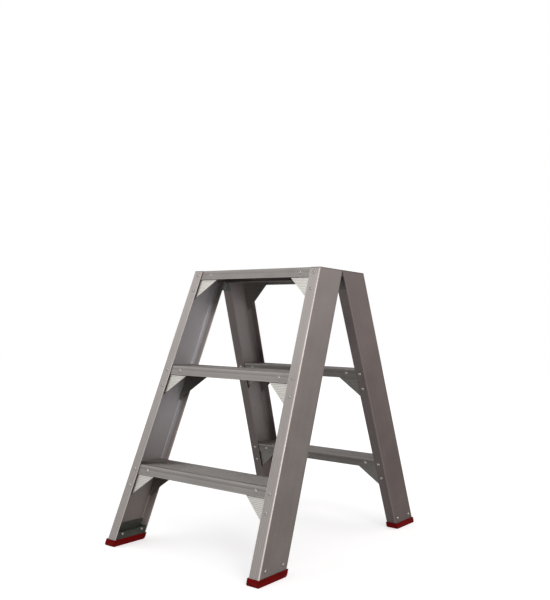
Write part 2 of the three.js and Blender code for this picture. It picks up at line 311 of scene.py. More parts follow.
def placed(model, name, end, material, node):
    """A copy of a front-frame model as a piece of its own, turned round where it belongs to the rear."""
    data = model.data.copy()
    data.name = name
    if ENDS[end] < 0:
        data.transform(Matrix.Rotation(math.pi, 4, "Z"))
    data.materials.clear()
    data.materials.append(material)
    copy = link(name, data)
    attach(copy, f"{end}_frame")
    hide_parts(node)


def name_of(end, side_name):
    """The label of a leg: the rear frame's sides swap when it is turned."""
    turned = SIDES[side_name] * ENDS[end]
    return f"{end}_{'left' if turned < 0 else 'right'}"


# ---- Materials -----------------------------------------------------------------------------------

MIX_A, MIX_B, MIX_COLOUR = 6, 7, 2      # the colour sockets of a Mix node

# Scales of noise per metre; those with three numbers are stretched, and on an extrusion they are across
# and along its lines.
LINE_SCALE = (1500, 5, 1)
BAND_SCALE = (160, 1.5, 1)
PATCH_SCALE = 11
SPECK_SCALE = 420
SCRATCH_SCALE = (260, 9, 30)
SCRATCH_TURN = (0.3, 0.8, 0.5)
SCRATCHED_AREAS = 7

# The colour of each mark on a metal, as a share of the metal's own colour.
MILL_TONES = (0.78, 1.2)
# The inside's painted light and shade.
INSIDE_SHADING_TONES = (0.85, 1.15)
SPECK_TONE = 0.35
SCRATCH_TONE = 1.7
# Edges: rubbing and a painted highlight.
RUBBED_HIGHLIGHT_TONE = 1.9
# A darker line just below the top cuts.
DARK_TOP_LINE_TONE = 0.3
PLASTIC_TONES = (0.8, 1.2)

MILL_ROUGHNESS = (0.42, 0.62)
RIVET_ROUGHNESS = (0.2, 0.34)
ZINC_ROUGHNESS = (0.52, 0.38)
PLASTIC_ROUGHNESS = (0.45, 0.6)
TOP_LIGHT_BAND = (0.3, 0.7)                 # heights in metres, between which the aluminium is painted lighter, as light from above
INSIDE_SHADING_BAND = (0.1, 0.32)               # heights in metres, between which the inside's painted light comes up
DUST_HEIGHT = 0.011                     # metres


class Nodes:
    """A node tree that is filled from its inputs to its result."""

    def __init__(self, tree):
        self.nodes = tree.nodes
        self.links = tree.links

    def add(self, kind, inputs=None, **settings):
        """A new node with its settings, and its inputs fed by name or number."""
        node = self.nodes.new(f"ShaderNode{kind}")
        for key, value in settings.items():
            setattr(node, key, value)
        for key, value in (inputs or {}).items():
            self.feed(node.inputs[key], value)
        return node

    def feed(self, socket, value):
        """Links another node's output to the socket, or sets its constant."""
        if isinstance(value, bpy.types.NodeSocket):
            self.links.new(value, socket)
        else:
            socket.default_value = value

    def noise(self, vector, scale, detail=3.0, rough=0.55):
        """Noise around 0.5. `scale` is a number or a stretch along each axis."""
        if not isinstance(scale, (int, float)):
            vector = self.add("Mapping", {"Vector": vector, "Scale": scale}).outputs[0]
            scale = 1.0
        settings = {"Vector": vector, "Scale": scale, "Detail": detail, "Roughness": rough}
        return self.add("TexNoise", settings).outputs["Fac"]

    def between(self, value, low, high, start=0.0, end=1.0):
        """The value's range low..high as start..end, held at both ends."""
        settings = {"Value": value, "From Min": low, "From Max": high, "To Min": start, "To Max": end}
        return self.add("MapRange", settings).outputs[0]

    def maths(self, operation, a, b=0.0):
        return self.add("Math", {0: a, 1: b}, operation=operation).outputs[0]

    def times(self, a, b):
        return self.maths("MULTIPLY", a, b)

    def total(self, first, *others):
        """The sum of (value, share) pairs."""
        result = self.times(*first)
        for value, share in others:
            result = self.maths("ADD", result, self.times(value, share))
        return result

    def mix(self, factor, a, b, blend="MIX"):
        inputs = {0: factor, MIX_A: a, MIX_B: b}
        return self.add("Mix", inputs, data_type="RGBA", blend_type=blend).outputs[MIX_COLOUR]


class Shade(Nodes):
    """A Principled material."""

    def __init__(self, name, metallic):
        self.material = bpy.data.materials.new(name)
        self.material.use_nodes = True
        super().__init__(self.material.node_tree)
        self.shader = self.nodes["Principled BSDF"]
        self.shader.inputs["Metallic"].default_value = metallic
        self.object = self.add("TexCoord").outputs["Object"]

    def height(self):
        """The height above the floor, in metres."""
        return self.add("SeparateXYZ", {"Vector": self.object}).outputs[2]

    def finish(self, colour, roughness, height, distance):
        """The material with its colour, its roughness and a relief of `distance` metres."""
        bump = self.add("Bump", {"Height": height, "Strength": 1.0, "Distance": distance}).outputs[0]
        self.feed(self.shader.inputs["Base Color"], colour)
        self.feed(self.shader.inputs["Roughness"], roughness)
        self.feed(self.shader.inputs["Normal"], bump)
        return self.material


def toned(colour, share):
    """The colour made darker or lighter, as RGBA."""
    return [min(1, c * share) for c in colour] + [1]


def tones(shade, factor, colour, ends):
    """From the colour's darker tone to its lighter one."""
    dark, light = ends
    return shade.mix(factor, toned(colour, dark), toned(colour, light))


def scratches(shade):
    """Thin straight scratches, which only a few areas have."""
    turned = shade.add("Mapping", {"Vector": shade.object, "Rotation": SCRATCH_TURN}).outputs[0]
    ridges = shade.maths("SUBTRACT", shade.noise(turned, SCRATCH_SCALE, 2, 0.4), 0.5)
    lines = shade.between(shade.maths("ABSOLUTE", ridges), 0.004, 0.0)
    few = shade.between(shade.noise(shade.object, SCRATCHED_AREAS, 2), 0.56, 0.64)
    return shade.times(lines, few)


def mill_aluminium(name, colour, rub_and_highlight, streak=1.0, top_line_darkness=0.0, inside=None, inside_shading_at_floor=1.0):
    """Extruded aluminium: fine lines along the extrusion, dull patches, small scratches, and edges made
    lighter as rubbing and a painted highlight.

    It is painted lighter towards the platform, as light from above. `rub_and_highlight` is how bright its
    edges are, as rubbing and a painted highlight, `streak` how strong its lines, and `top_line_darkness` how
    dark a line just below the
    top cuts at the platform. `inside` is the colour of faces that look into a channel, where wear is below 0:
    painted light in the stiles and painted shade on the brackets. `inside_shading_at_floor` says how much of
    it is left near the floor.
    """
    shade = Shade(name, 0.92)
    along = shade.add("UVMap", uv_map="Along").outputs[0]
    marks = shade.add("Attribute", attribute_name="wear_and_shading").outputs["Fac"]
    wear_and_shading = shade.maths("MAXIMUM", marks, 0.0)
    lines = shade.noise(along, LINE_SCALE, 5, 0.6)
    bands = shade.noise(along, BAND_SCALE, 2)
    patches = shade.noise(shade.object, PATCH_SCALE, 4, 0.6)
    specks = shade.between(shade.noise(shade.object, SPECK_SCALE, 2), 0.66, 0.74)
    scratch = scratches(shade)
    height = shade.height()

    # The wear value makes edges lighter, as rubbing and a painted highlight, and grooves darker.
    tone = shade.total((lines, 0.45 * streak), (bands, 0.3), (patches, 0.45), (wear_and_shading, 0.5))
    # Painted light: lighter towards the platform, as light falling from above.
    tone = shade.maths("ADD", tone, shade.between(height, *TOP_LIGHT_BAND, 0.0, 0.3))
    tone = shade.between(tone, 0.45 + 0.1 * (1 - streak), 1.15)
    base = tones(shade, tone, colour, MILL_TONES)
    # Faces that look into a channel or away get the inside colour: painted light in the stiles, fading out
    # towards the floor, and painted shade on the brackets.
    if inside:
        inside_shading_share = shade.between(height, *INSIDE_SHADING_BAND, inside_shading_at_floor, 1.0)
        inside_shading_share = shade.times(inside_shading_share, shade.between(marks, 0.0, -0.6))
        base = shade.mix(inside_shading_share, base, tones(shade, tone, inside, INSIDE_SHADING_TONES))
    base = shade.mix(shade.times(specks, 0.35), base, toned(colour, SPECK_TONE))
    base = shade.mix(shade.times(scratch, 0.3), base, toned(colour, SCRATCH_TONE))
    # Painted highlight along the edges, together with their rubbing.
    rubbed_highlight = shade.times(shade.between(wear_and_shading, 0.8, 1.0), rub_and_highlight)
    base = shade.mix(rubbed_highlight, base, toned(colour, RUBBED_HIGHLIGHT_TONE))
    # A darker line just below the top cuts.
    cut = shade.between(height, (PLATFORM - DARK_TOP_LINE) * MM, (PLATFORM - 0.3 * DARK_TOP_LINE) * MM)
    base = shade.mix(shade.times(cut, top_line_darkness), base, toned(colour, DARK_TOP_LINE_TONE))

    rough = shade.maths("ADD", patches, shade.times(lines, 0.5))
    rough = shade.between(rough, 0.5, 1.0, *MILL_ROUGHNESS)
    rough = shade.maths("SUBTRACT", rough, shade.times(wear_and_shading, 0.06))
    shade.shader.inputs["Anisotropic"].default_value = 0.5
    tangent = shade.add("Tangent", direction_type="UV_MAP", uv_map="Along").outputs[0]
    shade.feed(shade.shader.inputs["Tangent"], tangent)
    relief = shade.maths("ADD", lines, shade.times(specks, -0.5))
    relief = shade.maths("SUBTRACT", relief, scratch)
    return shade.finish(base, rough, relief, 0.00006)


def rivet_aluminium():
    """Bright rivet heads with painted shade in the mandrel hole and a painted shadow round the rim, in each
    rivet's own coordinates.
    """
    shade = Shade("rivet_aluminium", 0.95)
    parts = shade.add("SeparateXYZ", {"Vector": shade.object}).outputs
    squares = shade.maths("ADD", shade.maths("POWER", parts[0], 2.0), shade.maths("POWER", parts[1], 2.0))
    radius = shade.maths("SQRT", squares)
    # Painted shade in the mandrel hole and a painted contact shadow round the rim.
    hole = shade.between(radius, RIVET_MANDREL * 1.05 * MM, RIVET_MANDREL * 0.75 * MM)
    rim = shade.between(radius, RIVET_RADIUS * 0.9 * MM, RIVET_RADIUS * MM)
    dark = shade.times(shade.maths("MAXIMUM", hole, shade.times(rim, 0.8)), 0.9)
    mottle = shade.noise(shade.object, 700, 3)
    base = shade.mix(shade.between(mottle, 0.3, 0.7), (0.57, 0.555, 0.53, 1), (0.80, 0.78, 0.75, 1))
    base = shade.mix(dark, base, (0.06, 0.057, 0.054, 1))
    rough = shade.between(mottle, 0.3, 0.7, *RIVET_ROUGHNESS)
    return shade.finish(base, rough, mottle, 0.00004)


def zinc_steel():
    """Zinc-plated hinge steel: small crystals over broad dull patches."""
    shade = Shade("zinc_steel", 0.95)
    crystals = shade.add("TexVoronoi", {"Vector": shade.object, "Scale": 260}).outputs["Color"]
    crystals = shade.add("SeparateColor", {"Color": crystals}).outputs[0]
    patches = shade.noise(shade.object, 40, 4)
    tone = shade.total((crystals, 0.35), (patches, 0.65))
    base = shade.mix(shade.between(tone, 0.25, 0.75), (0.17, 0.168, 0.165, 1), (0.27, 0.266, 0.26, 1))
    rough = shade.between(tone, 0.25, 0.75, *ZINC_ROUGHNESS)
    return shade.finish(base, rough, patches, 0.0001)


def moulded_plastic(name, colour, scuff_colour, grain):
    """Moulded plastic: fine spark-eroded grain, flow marks, and dusty scuffs near the floor."""
    shade = Shade(name, 0.0)
    shade.shader.inputs["Specular IOR Level"].default_value = 0.03
    fine = shade.noise(shade.object, 1600, 2)
    flow = shade.noise(shade.object, (35, 35, 90), 3)
    low = shade.between(shade.height(), DUST_HEIGHT, 0.0)
    smears = shade.between(shade.noise(shade.object, (130, 130, 40), 4, 0.65), 0.5, 0.72)
    dust = shade.times(shade.times(low, smears), 0.55)
    base = tones(shade, shade.between(flow, 0.3, 0.7), colour, PLASTIC_TONES)
    base = shade.mix(dust, base, [*scuff_colour, 1])
    rough = shade.between(flow, 0.3, 0.7, *PLASTIC_ROUGHNESS)
    rough = shade.maths("ADD", rough, shade.times(dust, 0.5))
    return shade.finish(base, rough, fine, grain)


# The rear stiles get a darker copy of the front ones' aluminium, with dimmer edges and a darker inside:
# painted shade, as the real frames are alike; the front ones' brighter edges are a painted highlight.
STILE_METAL = {
    "front": mill_aluminium("front_stile_aluminium_lit", (0.43, 0.395, 0.375), rub_and_highlight=0.9, top_line_darkness=0.75,
                            inside=(0.64, 0.64, 0.66), inside_shading_at_floor=0.0),
    "rear": mill_aluminium("rear_stile_aluminium_shaded", (0.31, 0.268, 0.255), rub_and_highlight=0.2, top_line_darkness=0.75,
                           inside=(0.50, 0.475, 0.475), inside_shading_at_floor=0.0),
}
TREAD_METAL = mill_aluminium("tread_aluminium", (0.285, 0.266, 0.250), rub_and_highlight=0.15)
# The brackets' faces that look away get a darker inside colour: painted shade.
BRACKET_METAL = mill_aluminium("bracket_aluminium", (0.73, 0.705, 0.66), rub_and_highlight=0.0, streak=0.5,
                               inside=(0.34, 0.33, 0.30))
RIVET_METAL = rivet_aluminium()
HINGE_METAL = zinc_steel()
RED_PLASTIC = moulded_plastic("red_plastic", (0.185, 0.0055, 0.0055), (0.12, 0.045, 0.038), 0.00008)
PLUG_PLASTIC = moulded_plastic("plug_plastic", (0.085, 0.088, 0.074), (0.16, 0.15, 0.13), 0.00012)

# ---- Stiles --------------------------------------------------------------------------------------


def lip(outer, inner, sign):
    """Rounded free edge of a flange, from its outer face to its inner face."""
    middle = (outer + inner) / 2
    half = abs(outer - inner) / 2
    angles = np.linspace(math.pi / 2, -math.pi / 2, LIP_STEPS)
    points = [(STILE_WIDTH - half + half * math.cos(a), middle + sign * half * math.sin(a)) for a in angles]
    # The lip is painted bright, as rubbing and a painted highlight.
    return marked(points, LIP_WEAR_AND_HIGHLIGHT)


def stile_outline():
    """Level section of a stile: (inset from the web's face, depth from the hinge side, wear)."""
    far = STILE_DEPTH
    corner = STILE_CORNER
    first_reed = corner + STILE_LAND
    last_reed = STILE_WIDTH - STILE_LAND - LIP_ROUNDING
    fillet_inset = WALL + STILE_FILLET
    fillet_depth = LEVEL_WALL + STILE_FILLET

    outline = reeds((last_reed, far), (first_reed, far), (0, -1))
    outline += rounded_corner((corner, far - corner), corner, math.pi / 2)
    outline += reeds((0, far - first_reed), (0, first_reed), (1, 0))
    outline += rounded_corner((corner, corner), corner, math.pi)
    outline += reeds((first_reed, 0), (last_reed, 0), (0, 1))
    outline += lip(0, LEVEL_WALL, -1)
    fillet = arc((fillet_inset, fillet_depth), STILE_FILLET, -math.pi / 2, -math.pi / 2)
    fillet += arc((fillet_inset, far - fillet_depth), STILE_FILLET, math.pi, -math.pi / 2)
    # The channel's fillets are marked for the inside's painted light.
    outline += marked(fillet, CHANNEL_SHADING)
    outline += lip(far, far - LEVEL_WALL, 1)[::-1]
    return outline


def stile(side):
    return prism("stile", stile_outline(), STILE_END, PLATFORM, lambda a, b, z: place(a, b, z, side))


# ---- Treads --------------------------------------------------------------------------------------

# One rib of the top with the groove behind it: (share of the pitch, height, wear and shading).
TREAD_RIB = (
    (0.00, -0.10, 0.9), (0.06, 0.00, 1.0), (0.14, 0.00, 1.0), (0.20, -TREAD_NICK, 0.7),
    (0.26, 0.00, 1.0), (0.34, 0.00, 1.0), (0.40, -TREAD_NICK, 0.7), (0.46, 0.00, 1.0),
    (0.54, -0.06, 0.9), (0.62, -TREAD_RIB_DEPTH * 0.85, 0.1), (0.68, -TREAD_RIB_DEPTH, 0.0),
    (0.88, -TREAD_RIB_DEPTH, 0.0), (0.94, -TREAD_RIB_DEPTH * 0.85, 0.1),
)
# Half of a stiffening rib under the top: (from its middle, below the underside).
STIFFENER = ((1.8, 0.0), (1.1, 0.9), (1.1, 8.3), (0.7, 8.9))
STIFFENER_SHARES = (2 / 3, 1 / 3)       # where the ribs are, from the back to the nose


def tread_ribs():
    """The top's ribs from the back to the nose: (depth, height, wear)."""
    start = TREAD_BACK + TREAD_LAND
    width = TREAD_NOSE - TREAD_LAND - start
    count = int(width / TREAD_RIB_PITCH)
    pitch = width / count
    ribs = [(start + (i + share) * pitch, height, wear_and_shading)
            for i in range(count) for share, height, wear_and_shading in TREAD_RIB]
    return ribs + [(TREAD_NOSE - TREAD_LAND, *TREAD_RIB[0][1:])]


def tread_skirt():
    """A skirt from the top down its face and up behind it: (in from the nose or back, height, wear)."""
    low, line = -TREAD_SKIRT, -TREAD_SKIRT * SKIRT_LINE
    wall, under = LEVEL_WALL, TREAD_UNDERSIDE
    rounding = arc((0, -TREAD_EDGE), TREAD_EDGE, math.pi / 2, -math.pi / 2)
    skirt = marked([(TREAD_EDGE - x, z) for x, z in rounding], 1.0)
    skirt += [(0, line + 1.0, 0.6), (SKIRT_LINE_DEPTH * 0.7, line + 0.5, 0.3)]
    skirt += [(SKIRT_LINE_DEPTH, line, 0.2), (SKIRT_LINE_DEPTH * 0.7, line - 0.5, 0.5)]
    skirt += [(SKIRT_STEP, line - 1.0, 0.8)]
    skirt += [(SKIRT_STEP, low + 3.0, 0.5), (0, low + 2.2, 0.9), (0, low + SKIRT_OUTER_CORNER, 1.0)]
    skirt += [(SKIRT_OUTER_CORNER, low, 0.9), (wall - SKIRT_INNER_CORNER, low, 0.8), (wall, low + 0.6, 0.5)]
    return skirt + marked([(wall, under - 2), (wall + 0.8, under - 0.6), (wall + 2, under)], UNDER_WEAR)


def stiffener(middle):
    """A rib under the top: (depth, height, wear)."""
    near = [(middle + half, TREAD_UNDERSIDE - down) for half, down in STIFFENER]
    far = [(middle - half, TREAD_UNDERSIDE - down) for half, down in reversed(STIFFENER)]
    return marked(near + far, UNDER_WEAR)


def tread_outline():
    """Section of a tread: (depth from the hinge side at the tread top's height, height, wear)."""
    skirt = tread_skirt()
    outline = tread_ribs()
    outline += [(TREAD_NOSE - inset, z, wear_and_shading) for inset, z, wear_and_shading in skirt]
    for share in STIFFENER_SHARES:
        outline += stiffener(TREAD_BACK + share * (TREAD_NOSE - TREAD_BACK))
    return outline + [(TREAD_BACK + inset, z, wear_and_shading) for inset, z, wear_and_shading in reversed(skirt)]


def tread(level):
    """A tread across the frame. Its skirts lean with the stiles, its top and ribs don't."""
    low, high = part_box(f"tread_front_{level}")
    top = TREAD_TOPS[level]

    def where(depth, height, x):
        upright = TREAD_BACK + LEANING_ZONE < depth < TREAD_NOSE - LEANING_ZONE
        point = across(x, depth, top if upright else top + height)
        point.z = top + height
        return point

    return prism("tread", tread_outline(), low.x / MM, high.x / MM, where)


# ---- Corner brackets -----------------------------------------------------------------------------

# One rib of a bracket with the groove below it: (share of the pitch, how deep it is in the groove).
BRACKET_RIB = ((0.0, 0), (0.45, 0), (0.6, 1), (0.85, 1))


def bracket_faces(level):
    """Which flanges of a stile have a bracket there: the hinge lies in the place of the top inner one."""
    return FACES[:1] if level == "top" else FACES


def bracket_heights():
    """Heights down a bracket from the tread top, with how deep each sits in a groove, 0 to 1."""
    rows = []
    z = BRACKET_HIGH
    while z > BRACKET_LOW + BRACKET_PLAIN:
        rows += [(z - share * BRACKET_RIB_PITCH, sunk) for share, sunk in BRACKET_RIB]
        z -= BRACKET_RIB_PITCH
    rows += [(z, 0), (-TREAD_SKIRT, 0), (BRACKET_LOW, 0)]
    return sorted(rows, reverse=True)


def bracket_depths(face_name):
    """Depths of a bracket's two faces: it lies behind the stile's flange and the tread's skirt."""
    if face_name == "outer":
        return TREAD_NOSE - LEVEL_WALL - FIT, TREAD_NOSE - 2 * LEVEL_WALL - FIT
    return TREAD_BACK + LEVEL_WALL + FIT, TREAD_BACK + 2 * LEVEL_WALL + FIT


def bracket_rings(side, face_name):
    """Four corners, each a place and its wear, at every height of a bracket."""
    shown_depth, hidden_depth = bracket_depths(face_name)
    into = math.copysign(BRACKET_RIB_DEPTH, hidden_depth - shown_depth)
    heel_inset = WALL + FIT
    heel_reach = heel_inset + BRACKET_LOW * TAN_FLARE
    fall = (-TREAD_SKIRT - BRACKET_LOW) / (BRACKET_REACH - heel_reach)

    def corner(inset, depth, z, wear_and_shading):
        """A corner with `inset` from where the web's face is at the tread top."""
        point = place(0, depth, PLATFORM + z, side)
        point.x = side * (TOP_HALF_WIDTH - inset)
        return point * MM, wear_and_shading

    rings = []
    for z, sunk in bracket_heights():
        web = heel_inset + z * TAN_FLARE
        free_edge = min(BRACKET_REACH, BRACKET_REACH + (z + TREAD_SKIRT) / fall)
        free_edge = max(free_edge, web + BRACKET_HEEL)
        # Faces that look away get the painted shade of the inside colour, darkest in the grooves.
        hidden_shade = HIDDEN_SHADE - (1 + HIDDEN_SHADE) * sunk
        shown = CREST_WEAR * (1 - sunk) if face_name == "outer" else hidden_shade
        near, far = shown_depth + into * sunk, hidden_depth - into * sunk
        rings.append([corner(web, near, z, shown), corner(free_edge, near, z, shown),
                      corner(free_edge, far, z, hidden_shade), corner(web, far, z, hidden_shade)])
    return rings


def bracket(side, face_name):
    """A flat corner bracket under the top tread, ribbed on both faces, with a sloping free edge."""
    mesh = bmesh.new()
    along, wear_and_shading = metal_layers(mesh)
    rows = []
    for ring in bracket_rings(side, face_name):
        row = [mesh.verts.new(point) for point, _ in ring]
        for vertex, (_, value) in zip(row, ring):
            vertex[wear_and_shading] = value
        rows.append(row)

    def face(corners, across_lines):
        for loop in mesh.faces.new(corners).loops:
            point = loop.vert.co
            loop[along].uv = (getattr(point, across_lines), point.x)

    for high, low in zip(rows, rows[1:]):
        for i in range(4):
            j = (i + 1) % 4
            face((high[i], high[j], low[j], low[i]), "y" if i % 2 else "z")
    face(rows[0], "y")
    face(rows[-1][::-1], "y")
    bmesh.ops.recalc_face_normals(mesh, faces=mesh.faces)
    return to_object(mesh, "bracket", sharp=20)


def bracket_at(model, side, level):
    """The top bracket's shape, moved down the frame to another tread."""
    drop = PLATFORM - TREAD_TOPS[level]
    data = model.data.copy()
    data.transform(Matrix.Translation(Vector((side * drop * TAN_FLARE, -drop * TAN_LEAN, -drop)) * MM))
    return link(model.name, data)


# ---- Boots ---------------------------------------------------------------------------------------


def cut_level(mesh, height):
    """Cuts the mesh at a height and gives the corners on that cut."""
    parts = mesh.verts[:] + mesh.edges[:] + mesh.faces[:]
    place_of_cut = (0, 0, height * MM)
    made = bmesh.ops.bisect_plane(mesh, geom=parts, plane_co=place_of_cut, plane_no=(0, 0, 1), dist=1e-6)
    return [v for v in made["geom_cut"] if isinstance(v, bmesh.types.BMVert)]


def boot_groove(mesh, centre):
    """A groove round the outside of the boot, over the rim of the sole."""
    for offset in (-0.5, 0.5):
        cut_level(mesh, BOOT_GROOVE_HEIGHT + offset * BOOT_GROOVE_WIDTH)
    for vertex in cut_level(mesh, BOOT_GROOVE_HEIGHT):
        vertex.normal_update()
        outward = Vector((vertex.co.x - centre.x, vertex.co.y - centre.y, 0))
        push = Vector((vertex.normal.x, vertex.normal.y, 0)).normalized()
        if outward.dot(push) > 0:
            vertex.co -= push * BOOT_GROOVE_DEPTH * MM


def boot(side_name):
    """Red boot: the CAD node's shape with rounded edges and a groove round it."""
    node = f"foot_front_{side_name}"
    low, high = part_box(node)
    mesh = bmesh.new()
    mesh.from_mesh(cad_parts[node].data)
    bmesh.ops.remove_doubles(mesh, verts=mesh.verts, dist=0.01 * MM)
    bmesh.ops.dissolve_limit(mesh, angle_limit=math.radians(1), verts=mesh.verts, edges=mesh.edges)
    edges = [e for e in mesh.edges if len(e.link_faces) == 2 and e.calc_face_angle() > BOOT_EDGE]
    bmesh.ops.bevel(mesh, geom=edges, offset=BOOT_ROUNDING * MM, segments=3, profile=0.6, affect="EDGES",
                    clamp_overlap=True)
    boot_groove(mesh, (low + high) / 2)
    # The cuts leave the faces in an order that changes from run to run.
    mesh.faces.sort(key=lambda face: face.calc_center_median().dot(BOOT_FACE_ORDER))
    return to_object(mesh, "boot", sharp=40)


# ---- Rivets --------------------------------------------------------------------------------------


def rivet_profile():
    """Half section of a domed blind rivet: (radius, height), from its rim to its mandrel's broken end."""
    dome = RIVET_HEIGHT - RIVET_RIM
    waist = 0.93
    profile = [(RIVET_RADIUS * 0.97, 0.0), (RIVET_RADIUS, 0.25), (RIVET_RADIUS * waist, RIVET_RIM)]
    profile += [(RIVET_RADIUS * math.cos(a) * waist, RIVET_RIM + dome * math.sin(a))
                for a in np.linspace(0.35, 1.12, 4)]
    profile += [(RIVET_MANDREL * share, RIVET_HEIGHT - down)
                for share, down in ((1, 0.04), (0.85, 0.5), (0.6, 0.42), (0.2, 0.36))]
    return profile


def rivet_head(name, material):
    """A rivet's head about Z."""
    mesh = bmesh.new()
    angles = np.linspace(0, 2 * math.pi, RIVET_SIDES, endpoint=False)
    rows = [[mesh.verts.new(Vector((radius * math.cos(a), radius * math.sin(a), z)) * MM) for a in angles]
            for radius, z in rivet_profile()]
    for low, high in zip(rows, rows[1:]):
        for i in range(RIVET_SIDES):
            j = (i + 1) % RIVET_SIDES
            mesh.faces.new((low[i], low[j], high[j], high[i]))
    mesh.faces.new(rows[0][::-1])
    mesh.faces.new(rows[-1])
    made = to_object(mesh, name, sharp=50)
    made.data.materials.append(material)
    return made


RIVET_HEAD = rivet_head("rivet_head", RIVET_METAL)
LEAF_RIVET_HEAD = rivet_head("leaf_rivet_head", HINGE_METAL)
FRONT_NORMAL = Vector((0, -math.cos(LEAN), math.sin(LEAN)))


def rivet(name, end, point, normal, node=None, model=RIVET_HEAD, size=1.0):
    """A rivet head at a point of the front frame, in millimetres, standing on the face with that normal."""
    turn = normal.to_track_quat("Z", "Y").to_matrix().to_4x4()
    half_round = Matrix.Rotation(math.pi if ENDS[end] < 0 else 0, 4, "Z")
    head = link(name, model.data)
    head.matrix_world = half_round @ Matrix.Translation(point * MM) @ turn @ Matrix.Scale(size, 4)
    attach(head, f"{end}_frame")
    if node:
        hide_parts(node)


def tread_rivets(end, side_name, level):
    """The rivets through one end of a tread: two in each flange, unless the hinge is there, and one in each
    skirt."""
    side, top = SIDES[side_name], TREAD_TOPS[level]
    label = f"{name_of(end, side_name)}_{level}"
    for face, flange, skirt in (("outer", STILE_DEPTH, TREAD_NOSE), ("inner", 0.0, TREAD_BACK)):
        normal = FRONT_NORMAL if face == "outer" else -FRONT_NORMAL
        drops = FLANGE_RIVET_DROPS if face in bracket_faces(level) else ()
        for index, drop in enumerate(drops, 1):
            point = place(FLANGE_RIVET_INSET, flange, top - drop, side) - normal * FLANGE_RIVET_SEAT
            rivet(f"rivet_{label}_{face}_flange_{index}", end, point, normal)
        point = place(STILE_WIDTH + SKIRT_RIVET_REACH, skirt, top - SKIRT_RIVET_DROP, side)
        rivet(f"rivet_{label}_{face}_skirt", end, point - normal * SKIRT_RIVET_SEAT, normal)


def leaf_rivets(end, side_name):
    """Two small rivets in each hinge leaf, which lies on the hinge side of the stile's top."""
    label = name_of(end, side_name)
    points = cad_points(f"hinge_leaf_front_{side_name}")
    middle = (points[:, 0].max() + points[:, 0].min()) / 2
    top = points[:, 2].max()
    plate = points[points[:, 2] < top - LEAF_RIVET_DROPS[0]]
    away = -FRONT_NORMAL
    face = (plate @ np.array(away)).max()
    for index, drop in enumerate(LEAF_RIVET_DROPS, 1):
        point = across(middle, 0, top - drop)
        point += away * (face - point.dot(away))
        rivet(f"rivet_{label}_leaf_{index}", end, point, away, model=LEAF_RIVET_HEAD,
              size=LEAF_RIVET_SCALE)


def foot_rivets(end, side_name):
    """The CAD foot rivets: a head on the web, which stands for the node, and a tail inside on the plug."""
    label = name_of(end, side_name)
    normal = Vector((SIDES[side_name] * math.cos(FLARE), 0, math.sin(FLARE)))
    for index in (1, 2):
        points = cad_points(f"foot_rivet_front_{side_name}_{index}")
        reach = points @ np.array(normal)
        middle = Vector((points.max(0) + points.min(0)) / 2)
        axis_foot = middle - normal * middle.dot(normal)
        head = axis_foot + normal * (reach.max() - RIVET_HEIGHT)
        tail = axis_foot + normal * (reach.min() + FOOT_TAIL_LENGTH)
        name = f"rivet_{label}_foot_{index}"
        rivet(name, end, head, normal, node=f"foot_rivet_{label}_{index}")
        rivet(f"{name}_tail", end, tail, -normal, size=FOOT_TAIL_SCALE)


# ---- Assembly ------------------------------------------------------------------------------------


def finish_cad_node(node, material, bevel):
    """Keeps a CAD node, with rounded edges and a finished material."""
    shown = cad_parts[node]
    shown.data.materials.clear()
    shown.data.materials.append(material)
    modifier = shown.modifiers.new("rounded_edges", "BEVEL")
    modifier.width = bevel * MM
    modifier.segments = 2
    modifier.limit_method = "ANGLE"
    modifier.angle_limit = BEVEL_EDGE
    modifier.harden_normals = True


def build_leg(end, side_name, stile_model, boot_model, bracket_models):
    """A stile with its boot and plug, and the brackets, rivets and hinge leaf on it."""
    label = name_of(end, side_name)
    placed(stile_model, f"stile_{label}_reeded", end, STILE_METAL[end], f"stile_{label}")
    placed(boot_model, f"boot_{label}", end, RED_PLASTIC, f"foot_{label}")
    for level in LEVELS:
        for face in bracket_faces(level):
            model = bracket_at(bracket_models[face], SIDES[side_name], level)
            node = f"bracket_{label}_{level}_{face}"
            placed(model, f"{node}_ribbed", end, BRACKET_METAL, node)
            bpy.data.objects.remove(model)
        tread_rivets(end, side_name, level)
    foot_rivets(end, side_name)
    leaf_rivets(end, side_name)
    finish_cad_node(f"foot_plug_{label}", PLUG_PLASTIC, PLUG_BEVEL)
    finish_cad_node(f"hinge_leaf_{label}", HINGE_METAL, LEAF_BEVEL)


def build_ladder():
    """Both frames from one set of front-frame models, which are removed at the end."""
    boots = {name: boot(name) for name in SIDES}
    stiles = {name: stile(side) for name, side in SIDES.items()}
    brackets = {name: {face: bracket(side, face) for face in FACES} for name, side in SIDES.items()}
    treads = {level: tread(level) for level in LEVELS}
    for end in ENDS:
        for level, model in treads.items():
            node = f"tread_{end}_{level}"
            placed(model, f"{node}_ribbed", end, TREAD_METAL, node)
        for name in SIDES:
            build_leg(end, name, stiles[name], boots[name], brackets[name])
    for name in SIDES:
        finish_cad_node(f"hinge_pin_{name}", HINGE_METAL, PIN_BEVEL)
    models = [RIVET_HEAD, LEAF_RIVET_HEAD]
    for family in (boots, stiles, treads, *brackets.values()):
        models += family.values()
    for model in models:
        bpy.data.objects.remove(model)


# ---- Stage ---------------------------------------------------------------------------------------

FLOOR_GLOW = 0.56                       # keeps the floor as pale as the backdrop around soft shadows
FLOOR_SIZE = 9                          # metres from its middle to each edge

